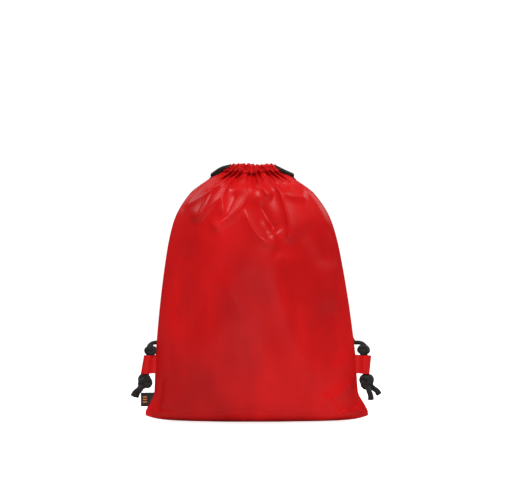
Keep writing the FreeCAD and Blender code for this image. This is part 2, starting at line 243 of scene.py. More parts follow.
class Nodes:
    """A material's node tree, with short calls for the nodes used here."""

    def __init__(self, name):
        self.material = bpy.data.materials.new(name)
        self.material.use_nodes = True
        self.tree = self.material.node_tree
        self.shader = self.tree.nodes["Principled BSDF"]
        self.place = self.add("ShaderNodeTexCoord").outputs["Object"]

    def add(self, kind, inputs=(), **settings):
        node = self.tree.nodes.new(kind)
        for key, value in settings.items():
            setattr(node, key, value)
        for key, value in dict(inputs).items():
            self.put(node.inputs[key], value)
        return node

    def put(self, socket, value):
        if isinstance(value, bpy.types.NodeSocket):
            self.tree.links.new(value, socket)
        else:
            socket.default_value = value

    def maths(self, operation, a, b=0.0):
        return self.add("ShaderNodeMath", {0: a, 1: b}, operation=operation).outputs[0]

    def surface(self, inputs):
        for name, value in inputs.items():
            self.put(self.shader.inputs[name], value)
        return self.material

    def waves(self, axis, rate):
        """A sine along one axis, its rate in radians a metre."""
        split = self.add("ShaderNodeSeparateXYZ", {"Vector": self.place})
        return self.maths("SINE", self.maths("MULTIPLY", split.outputs[axis], rate))

    def noise(self, scale, detail=2.0, roughness=0.5, stretch=(1.0, 1.0, 1.0)):
        place = self.add("ShaderNodeMapping", {"Vector": self.place, "Scale": stretch}).outputs["Vector"]
        inputs = {"Vector": place, "Scale": scale, "Detail": detail, "Roughness": roughness}
        return self.add("ShaderNodeTexNoise", inputs).outputs["Fac"]

    def mix(self, factor, dark, light):
        inputs = {"Factor": factor, "A": (*dark, 1.0), "B": (*light, 1.0)}
        return self.add("ShaderNodeMix", inputs, data_type="RGBA").outputs["Result"]

    def range(self, value, low, high):
        inputs = {"Value": value, "To Min": low, "To Max": high}
        return self.add("ShaderNodeMapRange", inputs).outputs["Result"]

    def bump(self, height, distance, strength, normal=None):
        inputs = {"Height": height, "Distance": distance, "Strength": strength}
        if normal is not None:
            inputs["Normal"] = normal
        return self.add("ShaderNodeBump", inputs).outputs["Normal"]


def coated_nylon():
    """Shiny coated cloth: fine plain weave under the coating, soft creasing, uneven colour and gloss."""
    n = Nodes("coated_nylon")
    weave_rate = 2200 * math.pi
    weave = n.maths("MULTIPLY", n.waves("X", weave_rate), n.waves("Z", weave_rate))
    clouds = n.noise(9, 3.0, stretch=(1.5, 1.0, 0.7))
    clouds = n.maths("MULTIPLY", n.maths("SUBTRACT", clouds, 0.34), 2.8)
    creased_normal = n.bump(n.noise(38, 4.0, 0.55), 0.0012, 0.35)
    return n.surface({
        "Base Color": n.mix(clouds, DEEP_RED, RED),
        "Roughness": n.range(n.noise(30, 3.0), 0.30, 0.42),
        "Normal": n.bump(weave, 0.00004, 0.2, creased_normal),
        "Specular IOR Level": 0.15,
        "Sheen Weight": 0.03,
        "Sheen Roughness": 0.4,
        "Sheen Tint": (1.0, 0.25, 0.2, 1.0),
    })


def braided_fibre():
    """Matt black polyester braid: fine fibres, dusty crests."""
    n = Nodes("black_braid")
    fibres = n.noise(2600, 2.0, 0.7)
    return n.surface({
        "Base Color": n.mix(n.noise(140, 3.0), BLACK, SOFT_BLACK),
        "Roughness": n.range(fibres, 0.62, 0.9),
        "Normal": n.bump(fibres, 0.0003, 0.6),
        "Specular IOR Level": 0.35,
        "Sheen Weight": 0.12,
        "Sheen Roughness": 0.5,
    })


def twisted_thread(name, dark, light):
    """Satin sewing thread with a fine twist."""
    n = Nodes(name)
    split = n.add("ShaderNodeSeparateXYZ", {"Vector": n.place})
    slant = n.maths("ADD", split.outputs["X"], split.outputs["Z"])
    twist = n.maths("SINE", n.maths("MULTIPLY", slant, 9000.0))
    return n.surface({
        "Base Color": n.mix(n.noise(900), dark, light),
        "Roughness": n.range(n.noise(1500), 0.35, 0.5),
        "Normal": n.bump(twist, 0.00008, 0.5),
    })


def woven_ribbon():
    """Fine damask ribbon: close ribs across, a faint satin sheen, unevenly worn."""
    n = Nodes("black_ribbon")
    weave = n.maths("ADD", n.waves("Z", 12500.0), n.maths("MULTIPLY", n.waves("X", 9000.0), 0.6))
    worn = n.noise(260, 4.0, 0.6)
    return n.surface({
        "Base Color": n.mix(worn, RIBBON_BLACK, RIBBON_GREY),
        "Roughness": n.range(worn, 0.42, 0.62),
        "Normal": n.bump(weave, 0.00006, 0.5),
        "Sheen Weight": 0.15,
    })


# -------- the stuffed bag

def ring_phase(u, side):
    """The phase of the pleats along the mouth: unevenly spaced."""
    uneven = 1.1 * np.sin(10.7 * u + 0.6 * side) + 0.8 * np.sin(20.7 * u + 2)
    return PLEATS * math.pi * (u + 1) + uneven


def ring_share(u, side):
    """Where a column of the gathered cloth stands along the mouth, from -1 to 1."""
    return u + 0.005 * np.sin(2 * ring_phase(u, side))


def ring_fold(u, side):
    """How far the fine pleats stand out at the foot of the hem channel."""
    depth = 4.0 + 0.7 * np.sin(14.5 * u + side) + 0.5 * np.sin(32.0 * u)
    return side * (1 - np.abs(u) ** 12) * depth * MM * np.sin(ring_phase(u, side))


def ring_middle(u, side):
    """The slim lens that the pleats are folded about."""
    return side * (1 - np.abs(u) ** 12) * LIP_REACH * 0.56


def ring_sag(u):
    """How far the foot of the channel hangs below its ends: lowest just left of the middle."""
    return (3.2 * bump((u + 0.06) / 0.42) + 0.9 * np.sin(17.3 * u + 1.2) * (1 - u ** 2)) * MM


def silhouette(z):
    """Left and right edge of the bag at a height, up to the foot of the hem channel."""
    t = smoothstep(NECK - 2 * MM, RING_HEIGHT, z)
    edges = ((left_edge(z), MOUTH_CENTRE - RING_HALF), (right_edge(z), MOUTH_CENTRE + RING_HALF))
    return [edge + (mouth - edge) * t for edge, mouth in edges]


def panel_grid(side):
    """One panel before the simulation: rows go from the bottom seam, along the floor, up to the mouth."""
    u, v = grid_shares(ROWS + 1, COLUMNS + 1)
    on_floor = front_depth(0.0)
    along = v * (on_floor + RING_HEIGHT + BASE_ROUND)
    rise = along - on_floor
    middle_z = 0.5 * (rise + np.sqrt(rise ** 2 + BASE_ROUND ** 2))
    middle_z = (middle_z - middle_z[0]) / (middle_z[-1] - middle_z[0]) * RING_HEIGHT
    edge_z = EAR_HEIGHT + (RING_HEIGHT - EAR_HEIGHT) * v
    reach = np.minimum(along, front_depth(middle_z))
    tuck = 4 * MM * np.exp(-(rise / (16 * MM)) ** 2)
    reach = START_DEPTH * np.maximum(reach - tuck, 0)
    z = middle_z + (edge_z - middle_z) * np.abs(u) ** (6 + 14 * v)
    at_seam = smoothstep(0.10, 0.0, v)
    seam_edges = silhouette(np.array(12 * MM))
    left, right = (edge + (seam - edge) * at_seam for edge, seam in zip(silhouette(z), seam_edges))
    open_angle = 0.88 - 0.25 * v
    across = np.sin(u * open_angle) / np.sin(open_angle)
    at_mouth = smoothstep(0.93, 1.0, v)
    pleated = smoothstep(0.90, 1.0, v)
    across = across + (ring_share(u, side) - across) * at_mouth
    x = (left + right) / 2 + (right - left) / 2 * across
    lens = (np.cos(u * open_angle) - np.cos(open_angle)) / (1 - np.cos(open_angle))
    y = side * reach * lens
    y = y + (ring_middle(u, side) - y) * at_mouth
    y = y + ring_fold(u, side) * pleated ** 2
    return np.stack([x, y, z - ring_sag(u) * pleated], axis=-1)


def flat_pattern(side):
    """The same grid as cut cloth: a rectangle, so that the cloth is as wide at the mouth as at the base."""
    u, v = grid_shares(ROWS + 1, COLUMNS + 1)
    x = u * CLOTH_WIDTH / 2 + 0 * v
    z = v * CLOTH_HEIGHT * (1 - 0.04 * smoothstep(0.5, 1.0, np.abs(u)))
    return np.stack([x, 0 * x + side * 0.4 * MM, z], axis=-1)


def closed_mesh(front, back):
    """Join the two grids at the side and bottom seams. Returns points, faces and a grid of ids a side."""
    front_ids = np.arange(front[..., 0].size).reshape(front.shape[:2])
    back_ids = front_ids.copy()
    inside = back[1:, 1:-1]
    back_ids[1:, 1:-1] = front_ids.size + np.arange(inside[..., 0].size).reshape(inside.shape[:2])
    points = np.concatenate([front.reshape(-1, 3), inside.reshape(-1, 3)])
    faces = grid_faces(front_ids) + grid_faces(back_ids, flip=True)
    return points, faces, {FRONT: front_ids, BACK: back_ids}


def inflate(points, rest, faces, pinned):
    """Stuff the bag: cloth with its flat pattern as rest shape, blown up gently from inside."""
    body = add_object("stuffing", points, faces, None)
    group = body.vertex_groups.new(name="seams")
    group.add(np.nonzero(pinned)[0].tolist(), 1.0, "REPLACE")
    body.shape_key_add(name="Basis")
    pattern = body.shape_key_add(name="pattern")
    pattern.data.foreach_set("co", rest.astype(np.float32).ravel())
    pattern.value = 0
    cloth = body.modifiers.new("Cloth", "CLOTH")
    cloth.point_cache.frame_end = SIM_FRAMES
    settings = cloth.settings
    settings.quality = 6
    settings.mass = 0.15
    settings.tension_stiffness = settings.compression_stiffness = 25
    settings.shear_stiffness = 8
    settings.bending_stiffness = 0.15
    settings.tension_damping = settings.compression_damping = 8
    settings.air_damping = 3
    settings.use_pressure = True
    settings.uniform_pressure_force = PRESSURE
    settings.vertex_group_mass = "seams"
    settings.rest_shape_key = pattern
    settings.effector_weights.gravity = 0
    for number in range(1, SIM_FRAMES + 1):
        SCENE.frame_set(number)
    result = np.empty(len(points) * 3)
    evaluated = body.evaluated_get(bpy.context.evaluated_depsgraph_get())
    evaluated.data.vertices.foreach_get("co", result)
    SCENE.frame_set(1)
    bpy.data.objects.remove(body)
    return result.reshape(-1, 3)


def stuffed_panels():
    """The two panels' grids after stuffing, sharing their seam points."""
    points, faces, ids = closed_mesh(panel_grid(FRONT), panel_grid(BACK))
    rest, _, _ = closed_mesh(flat_pattern(FRONT), flat_pattern(BACK))
    pinned = np.zeros(len(points), bool)
    for index in ids.values():
        for edge in (index[-2:], index[0], index[:, 0], index[:, -1]):
            pinned[edge] = True
    points = inflate(points, rest, faces, pinned)
    return {side: points[index] for side, index in ids.items()}


def smooth_path(points, step):
    """A smooth curve through the points, sampled evenly."""
    points = np.array(points, float)
    padded = np.vstack([2 * points[0] - points[1], points, 2 * points[-1] - points[-2]])
    t = np.linspace(0, 1, 24, endpoint=False)[:, None]
    fine = []
    for a, b, c, d in zip(padded, padded[1:], padded[2:], padded[3:]):
        square, cube = 2 * a - 5 * b + 4 * c - d, 3 * b - a - 3 * c + d
        fine.append(0.5 * (2 * b + (c - a) * t + square * t ** 2 + cube * t ** 3))
    fine = np.vstack(fine + [points[-1:]])
    run = distances(fine)
    return sampled(fine, run, np.linspace(0, run[-1], max(6, int(run[-1] / step)) + 1))


class Ridge:
    """A crease in the cloth: a crest, or with a negative height a hollow, along a curve seen from the front.

    All sizes are in mm, the points as (x, z). Each flank has its own width, first the left one going down.
    The crest fades in over the first part of its length and out towards its tip."""

    def __init__(self, points, height, left, right, fade_in=0.25, fade_out=0.2, sharp=1.15):
        self.path = smooth_path(np.array(points) * MM, 3 * MM)
        self.height, self.left, self.right = height * MM, left * MM, right * MM
        self.fade_in, self.fade_out, self.sharp = fade_in, fade_out, sharp

    def lift(self, x, z):
        place = np.stack([x, z], axis=-1)
        nearest = np.full(x.shape, np.inf)
        along = np.zeros(x.shape)
        beside = np.zeros(x.shape)
        count = len(self.path) - 1
        for k in range(count):
            a, d = self.path[k], self.path[k + 1] - self.path[k]
            t = np.clip((place - a) @ d / (d @ d), 0, 1)
            away = place - (a + t[..., None] * d)
            distance = np.linalg.norm(away, axis=-1)
            closer = distance < nearest
            nearest = np.where(closer, distance, nearest)
            along = np.where(closer, (k + t) / count, along)
            beside = np.where(closer, d[1] * away[..., 0] - d[0] * away[..., 1], beside)
        width = self.right + (self.left - self.right) * smoothstep(-2 * MM * MM, 2 * MM * MM, beside)
        rounded = np.sqrt(nearest ** 2 + (0.7 * MM) ** 2) - 0.7 * MM
        profile = np.exp(-(rounded / width) ** self.sharp)
        fade = smoothstep(0, self.fade_in, along) * smoothstep(1, 1 - self.fade_out, along)
        return self.height * fade * profile


FRONT_RIDGES = [Ridge(*crease) for crease in (
    # pipes that fan out from the mouth to the left shoulder
    ([(-41, 374), (-56, 359), (-76, 346), (-83, 328), (-97, 299)], 6.5, 9, 6),
    ([(-47, 346), (-66, 328), (-98, 298)], 4.5, 8, 5),
    ([(-36, 376), (-41, 364), (-51, 346), (-52, 322), (-49, 306)], 6.5, 7, 8),
    ([(-20, 378), (-16, 366), (-15.6, 342), (-23, 328), (-42, 308), (-69, 288)], 8.5, 10, 7, 0.15, 0.12),
    ([(-30, 352), (-36, 330), (-50, 306), (-66, 291)], -4.5, 10, 9),
    ([(-70, 352), (-88, 338), (-112, 325)], 3.5, 7, 7),
    # middle and right: the biggest pipe ends in a sharp pocket
    ([(-1, 376), (4, 363), (14, 346), (25, 338)], 5.5, 5, 7),
    ([(-22, 332), (-8, 296), (10, 275), (36, 261)], 6.5, 10, 6, 0.3, 0.16),
    ([(9, 377), (25, 361), (36, 344), (45, 315), (49, 288), (42, 266)], 8.5, 6, 12, 0.15, 0.16),
    ([(-4, 340), (12, 312), (29, 284)], -7.5, 12, 10, 0.35, 0.15),
    ([(7, 308), (20, 286), (30, 272)], 2.2, 3.5, 3.5),
    ([(36, 352), (48, 342), (76, 339)], 5.5, 5, 9, 0.3, 0.1),
    ([(60, 366), (86, 348), (104, 322), (118, 290)], 3.0, 11, 9),
    # long soft swells down the belly
    ([(38, 260), (30, 222), (38, 187), (52, 144), (66, 108), (88, 67), (112, 36)],
     3.4, 14, 17, 0.06, 0.2, 1.8),
    ([(-62, 232), (-36, 190), (-6, 150)], 2.8, 16, 20, 0.3, 0.3, 1.6),
    ([(-96, 282), (-110, 230), (-118, 180), (-116, 120)], -6.5, 12, 19, 0.25, 0.3, 1.8),
    ([(66, 300), (90, 268), (112, 226)], -6.0, 17, 19, 0.25, 0.3, 1.8),
    ([(104, 190), (118, 140), (126, 80)], -5.0, 16, 11, 0.3, 0.3, 1.8),
    ([(106, 300), (119, 262), (126, 216)], -1.5, 1.8, 2.6, 0.2, 0.3),
    ([(-60, 10), (-25, 13), (2, 17), (14, 9)], -3.2, 5, 5, 0.3, 0.2),
    # creases that run into the two bottom corners
    ([(96, 46), (116, 24), (124, 5)], 4.5, 6, 9, 0.3, 0.1),
    ([(118, 10), (140, 18), (163, 17)], 4.5, 7, 5, 0.3, 0.2),
    ([(112, 34), (130, 46), (148, 62)], 3.5, 6, 8, 0.3, 0.25),
    ([(146, 60), (147, 42), (157, 26)], -2.6, 5, 5, 0.3, 0.2),
    ([(-150, 8), (-145, 48), (-137, 84)], -3.2, 6, 8, 0.15, 0.4),
    ([(-164, 14), (-146, 20), (-118, 14)], 2.8, 6, 7, 0.2, 0.5),
)]


def back_ridges():
    """Creases of the back, which the photo doesn't show."""
    ridges = []
    for reach in (-104, -74, -40, -12, 22, 58, 92):
        reach = reach + rng.uniform(-7, 7)
        start = reach * 0.34
        tip = rng.uniform(268, 318) + abs(reach) * 0.12
        bend = rng.uniform(-8, 8)
        route = [(start - 7, 376), (start * 1.5 - 7 + bend, 352), (reach, tip)]
        ridges.append(Ridge(route, rng.uniform(5, 8.5), rng.uniform(5, 10), rng.uniform(5, 10), 0.15, 0.12))
        hollow = [(start - 1, 362), (reach * 0.8 + 9, (362 + tip) / 2), (reach + 8, tip + 14)]
        ridges.append(Ridge(hollow, -rng.uniform(3, 5), 9, 8))
    for start_x, end_x in ((-60, -104), (12, 46), (70, 40)):
        route = [(start_x, 262), ((start_x + end_x) / 2 + 9, 170), (end_x, 70)]
        ridges.append(Ridge(route, rng.uniform(2.5, 4), 16, 13, 0.2, 0.3, 1.5))
    for outward in (LEFT, RIGHT):
        ridges.append(Ridge([(outward * 100, 50), (outward * 120, 26), (outward * 130, 6)], 4.0, 7, 8))
        ridges.append(Ridge([(outward * 118, 12), (outward * 142, 19), (outward * 162, 15)], 3.8, 6, 6))
    return ridges


def swells(x, z):
    """Uneven stuffing: low wide mounds and dips."""
    total = np.zeros(x.shape)
    for _ in range(SWELL_COUNT):
        centre_x, centre_z = rng.uniform(-0.13, 0.13), rng.uniform(0.03, 0.30)
        tilt = rng.uniform(-0.6, 0.6)
        across, tall = rng.uniform(0.018, 0.040), rng.uniform(0.04, 0.09)
        dx = (x - centre_x) * math.cos(tilt) + (z - centre_z) * math.sin(tilt)
        dz = (z - centre_z) * math.cos(tilt) - (x - centre_x) * math.sin(tilt)
        height = rng.choice((-1, 1)) * rng.uniform(1.2, 3.0) * MM
        total += height * np.exp(-(dx / across) ** 2 - (dz / tall) ** 2)
    return total


def seam_pucker(grid, side):
    """Small ripples where the thread draws the side seams together."""
    u, _ = grid_shares(*grid.shape[:2])
    z = grid[..., 2]
    ripple = np.sin(z / (2.4 * MM) + 1.8 * np.sin(z / (13 * MM) + side) + 3 * u)
    strength = 0.5 + 0.5 * np.sin(z / (31 * MM) + 2 * side)
    near = np.exp(-((1 - np.abs(u)) / 0.045) ** 2) * (1 - np.exp(-((1 - np.abs(u)) / 0.008) ** 2))
    return 0.9 * MM * ripple * strength * near


def calm_shoulders(grid):
    """Ease the finest buckles that the simulation leaves beside the mouth."""
    u, v = grid_shares(*grid.shape[:2])
    where = smoothstep(0.45, 0.65, np.abs(u)) * smoothstep(1.0, 0.985, np.abs(u))
    where = where * smoothstep(0.76, 0.82, v) * smoothstep(0.985, 0.95, v)
    for _ in range(12):
        eased = grid.copy()
        ease(eased, axes=2)
        grid = grid + (eased - grid) * where[..., None]
    return grid


def settle(grid, side):
    """Keep the stuffed panel inside the CAD depth and flat where it stands on the floor."""
    z = grid[..., 2]
    allowed = np.max(front_depth(np.clip(z, 0, NECK)), axis=1, keepdims=True) + 3 * MM
    deepest = np.max(side * grid[..., 1], axis=1, keepdims=True)
    scale = np.minimum(1, allowed / np.maximum(deepest, 1e-6))[:, 0]
    scale = np.convolve(np.pad(scale, 4, mode="edge"), np.ones(9) / 9, mode="valid")[:, None]
    below_neck = smoothstep(NECK - 8 * MM, NECK - 40 * MM, z)
    grid[..., 1] *= 1 + (scale - 1) * below_neck
    floor, roundness = 0.4 * MM, 1.2 * MM
    above = z - floor
    grid[..., 2] = floor + 0.5 * (above + np.sqrt(above ** 2 + roundness ** 2)) - roundness / 4
    return grid


shell_cloth = coated_nylon()
cord_braid = braided_fibre()
red_thread = twisted_thread("red_thread", DEEP_RED, RED)
orange_thread = twisted_thread("orange_thread", ORANGE, PALE_ORANGE)
label_weave = woven_ribbon()


def creased(grid, side):
    """Sculpt the creases into a stuffed panel."""
    x, z = grid[..., 0], grid[..., 2]
    lift = swells(x, z) + seam_pucker(grid, side)
    for ridge in FRONT_RIDGES if side == FRONT else back_ridges():
        lift = lift + RIDGE_GAIN * ridge.lift(x, z)
    for _ in range(2):
        ease(lift, axes=2)
    u, v = grid_shares(*grid.shape[:2])
    free = smoothstep(1.0, 0.90, np.abs(u)) * smoothstep(1.0, 0.975, v) * smoothstep(0.0, 0.05, v)
    grid[..., 1] += side * lift * free
    return grid


def finish_piece(piece, body, slot, *nodes, start=None, reach=None):
    """The frame's book-keeping: a piece rides on its body, or, given a reach, keeps its place with its
    transform baked in. The CAD parts it stands in for are hidden.
    """
    if reach is None:
        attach(piece, body)
    else:
        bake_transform(piece)
    if nodes:
        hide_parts(*nodes)


def opening_halves(build, name, slot, *nodes):
    """Make a piece of the front lip as two halves that meet in the middle of the mouth.

    Each half gets a start at its own end of the mouth and a reach towards the lip, and keeps the place it is
    built in."""
    for label, side in SIDES:
        piece = build(f"{name}_{label}_half", side)
        start = Vector((MOUTH_CENTRE + side * RING_HALF, 0, RING_HEIGHT))
        across = Vector((-side / RING_HALF, 0, 1 / LIP_DROP))
        reach = across / across.length_squared
        finish_piece(piece, "front_lip", slot, *nodes, start=start, reach=reach)


def half_sheet(name, grid, side, **options):
    """The left or the right half of a sheet of shell cloth, with no rim where it meets the other half."""
    middle = grid.shape[1] // 2
    columns, cut = (slice(0, middle + 1), "last") if side == LEFT else (slice(middle, None), "first")
    return cloth_sheet(name, grid, shell_cloth, columns=columns, cut=cut, **options)


def centred(grid):
    """Bring the column where the two front halves part to the middle of the mouth."""
    column = grid[:, grid.shape[1] // 2]
    shift = (MOUTH_CENTRE - column[:, 0]) * smoothstep(0.31, 0.335, column[:, 2])
    u, _ = grid_shares(*grid.shape[:2])
    grid[..., 0] += shift[:, None] * np.exp(-(u / 0.12) ** 2)
    return grid


def front_half(name, side):
    return half_sheet(name, front, side)


panels = stuffed_panels()
front = creased(refined(settle(calm_shoulders(panels[FRONT]), FRONT)), FRONT)
back = creased(refined(settle(calm_shoulders(panels[BACK]), BACK)), BACK)
front = centred(front)
opening_halves(front_half, "front_panel", "shell_cloth", "front_panel")
back_cloth = cloth_sheet("back_panel_cloth", back, shell_cloth, flip=True)
finish_piece(back_cloth, "bag", "shell_cloth", "back_panel")


# -------- hem channel

def channel_grid(side):
    """The gathered casing round the cords: columns run along the mouth, rows go round its section."""
    u = np.linspace(-1, 1, 301)[None, :]
    around = np.linspace(0, 2 * math.pi, 37)[:, None] - math.pi / 2
    tall = (CHANNEL_HIGH.z - RING_HEIGHT) / 2
    level = np.sin(around)
    uneven = 2.2 * np.sin(6.1 * u + side) + 1.6 * np.sin(19.0 * u + 1.3 * side)
    ruffle_phase = 19 * math.pi * (u + 1) + uneven
    height = (level + 1) / 2
    ruffle = 0.5 + 0.5 * np.sin(ruffle_phase + 1.6 * np.sin(3 * height + 9 * u))
    depth = 1.5 + 1.0 * np.sin(11.0 * u + 2 * side) + 0.5 * np.sin(31.0 * u)
    outward = np.sign(np.cos(around)) * np.abs(np.cos(around)) ** 0.45
    bulge = outward * (CHANNEL_BULGE + depth * MM * ruffle * smoothstep(0.0, 0.4, height))
    y = ring_middle(u, side) + ring_fold(u, side) * (1 - smoothstep(0.0, 0.22, height)) + side * bulge
    taper = 1 - 0.24 * smoothstep(-0.2, 1.1, height)
    x = MOUTH_CENTRE + RING_HALF * ring_share(u, side) * taper + 0.7 * MM * np.cos(ruffle_phase) * height
    scallop = 1.0 * MM * np.sin(ruffle_phase * 0.53 + 0.7) - 1.5 * MM * bump((u - 0.3) / 0.45)
    sag = -1.4 * MM * smoothstep(0.75, 1.0, np.abs(u))
    top_edge = (scallop + sag - 0.8 * MM) * smoothstep(0.4, 1.0, height)
    z = RING_HEIGHT - 0.6 * MM + tall * (level + 1) + top_edge
    z = z - ring_sag(u) * (1 - smoothstep(0.0, 0.55, height))
    return np.stack([x, y, z], axis=-1)


def stitches(name, route, outward):
    """A row of stitches along a route, each a short rounded thread sunk into the cloth at its ends."""
    run = distances(route)
    share = np.linspace(0, 1, 5)
    lift = (0.25 * MM * np.sin(share * math.pi) - 0.08 * MM)[:, None]
    radii = STITCH_RADIUS * np.array([0.4, 0.95, 1.0, 0.95, 0.4])
    threads = []
    start = STITCH_GAP
    while start + STITCH_LENGTH < run[-1]:
        at = start + share * STITCH_LENGTH
        threads.append((sampled(route, run, at) + sampled(outward, run, at) * lift, even_radii(radii, 6)))
        start += STITCH_LENGTH + STITCH_GAP
    return add_tubes(name, threads, red_thread)


def even_radii(radii, sides):
    """The radii of a round tube, ring by ring and side by side."""
    return np.repeat(np.reshape(radii, (-1, 1)), sides, axis=1)


def add_tubes(name, tubes, material):
    """One object made of closed tubes, each given as its path and its radii."""
    points, faces = [], []
    for path, radii in tubes:
        add_tube(points, faces, path, radii)
    return add_object(name, points, faces, material)


def add_tube(points, faces, path, radii):
    """A closed tube round a path, its radius given ring by ring and side by side."""
    sides = radii.shape[1]
    first = len(points)
    forward = np.gradient(path, axis=0)
    forward /= np.maximum(np.linalg.norm(forward, axis=1, keepdims=True), 1e-12)
    across = np.cross(forward[0], (0.13, 0.21, 0.97) if abs(forward[0][2]) < 0.9 else (0.97, 0.2, 0.1))
    theta = np.linspace(0, 2 * math.pi, sides, endpoint=False)
    for spot, ahead, ring in zip(path, forward, radii):
        across = across - ahead * (across @ ahead)
        across = across / np.linalg.norm(across)
        third = np.cross(ahead, across)
        circle = np.cos(theta)[:, None] * across + np.sin(theta)[:, None] * third
        points.extend(spot + circle * ring[:, None])
    ids = first + np.arange(len(path) * sides).reshape(-1, sides)
    ids = np.concatenate([ids, ids[:, :1]], axis=1)
    faces.extend(grid_faces(ids))
    for ring, end in ((ids[0, -2::-1], path[0]), (ids[-1, :-1], path[-1])):
        faces.extend((a, b, len(points)) for a, b in zip(ring, np.roll(ring, -1)))
        points.append(end)


def channel_half(name, side):
    return half_sheet(name, channel_grid(FRONT), side, thickness=CHANNEL_CLOTH)


def hem_stitch_route(side):
    """Along the gathered foot of the channel, on the outer face of the cloth."""
    u = np.linspace(-0.97, 0.97, 500)
    x = MOUTH_CENTRE + RING_HALF * ring_share(u, side)
    y = ring_middle(u, side) + ring_fold(u, side)
    outward = np.stack([0 * u, side + 0 * u, 0 * u], axis=1)
    return np.stack([x, y + side * 0.25 * MM, RING_HEIGHT + 0.8 * MM + 0 * u], axis=1), outward


def hem_stitches_half(name, side):
    route, outward = hem_stitch_route(FRONT)
    keep = (route[:, 0] - MOUTH_CENTRE) * side >= 0
    return stitches(name, route[keep], outward[keep])


opening_halves(channel_half, "front_channel", "shell_cloth", "front_cord_channel")
opening_halves(hem_stitches_half, "front_hem_stitches", "thread", "front_channel_stitching")
back_channel = cloth_sheet("back_channel_cloth", channel_grid(BACK), shell_cloth, True, CHANNEL_CLOTH)
finish_piece(back_channel, "bag", "shell_cloth", "back_cord_channel")
back_stitches = stitches("back_hem_stitches", *hem_stitch_route(BACK))
finish_piece(back_stitches, "bag", "thread", "back_channel_stitching")


# -------- cords

def cord_radii(path, radius, flare=0.0):
    """Radius over the surface of a braided cord: two sets of crossing strands, and a flared cut end."""
    length = distances(path)[-1]
    theta = np.linspace(0, 2 * math.pi, CORD_SIDES, endpoint=False)[None, :]
    run = np.linspace(0, length, len(path))[:, None]
    one = np.abs(np.sin(3 * theta + 2 * math.pi * run / BRAID_PITCH))
    other = np.abs(np.sin(3 * theta - 2 * math.pi * run / BRAID_PITCH))
    relief = 1 + 0.13 * (np.sqrt(one * other) - 0.45)
    return radius * relief * (1 + flare * smoothstep(length * 0.45, length, run))


def braided_cord(name, route, radius, step=0.7 * MM):
    """A length of braided cord through a few points."""
    path = smooth_path(route, step)
    return add_tubes(name, [(path, cord_radii(path, radius))], cord_braid)


def apart(points, place):
    return np.linalg.norm(points - place, axis=1)


def middle_of(node):
    low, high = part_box(node)
    return (low + high) / 2


def node_ends(node):
    """The middles of a cord's two ends: of the points round the two that lie farthest out."""
    points = node_points(node)
    ends = []
    origin = points.mean(axis=0)
    for _ in range(2):
        far = points[np.argmax(apart(points, origin))]
        cap = points[apart(points, far) < CORD_RADIUS * 2.1]
        ends.append((cap.min(axis=0) + cap.max(axis=0)) / 2)
        origin = ends[0]
    return ends


def centreline(node, stride=5 * MM, towards=None):
    """Points down the middle of a curved CAD cord, from its upper end, found by walking along inside it."""
    points = node_points(node)
    first, last = sorted(node_ends(node), key=lambda end: -end[2])
    if towards is not None:
        last = points[np.argmin(apart(points, towards))]
    distance = apart(points, first)
    ahead = points[(distance > stride) & (distance < 1.8 * stride)].mean(axis=0) - first
    route = [first]
    while np.linalg.norm(route[-1] - last) > 1.5 * stride and len(route) < 200:
        ahead = ahead / np.linalg.norm(ahead)
        guess = route[-1] + ahead * stride
        offset = points - guess
        near = (np.abs(offset @ ahead) < 1.2 * MM) & (apart(points, guess) < 1.8 * CORD_RADIUS)
        if near.any():
            guess = points[near].mean(axis=0)
        ahead = guess - route[-1]
        route.append(guess)
    return route + [last]


def mouth_cord_route(cord, face):
    """A cord inside the channel, from the left end of the mouth to the right.

    The left cord lies above the right one; each is at the top of the channel where its ends come out."""
    outward = LEFT if cord == "left" else RIGHT
    route = []
    for share in np.linspace(-1, 1, 9):
        out = outward * share
        reach = share * (1.0 if out > 0 else 0.66)
        level = 7.4 if cord == "left" else 3.2 + 3.9 * smoothstep(0.70, 1.0, out)
        place = MOUTH_CENTRE + reach * MOUTH_HALF * 0.9
        route.append(Vector((place, face * LIP_REACH * 0.5, RING_HEIGHT + level * MM)))
    return route


def front_cords_half(name, side):
    tubes = []
    for cord, _ in SIDES:
        route = mouth_cord_route(cord, FRONT)
        path = smooth_path(route[:5] if side == LEFT else route[4:], 1.5 * MM)
        tubes.append((path, np.full((len(path), 12), HIDDEN_RADIUS)))
    return add_tubes(name, tubes, cord_braid)


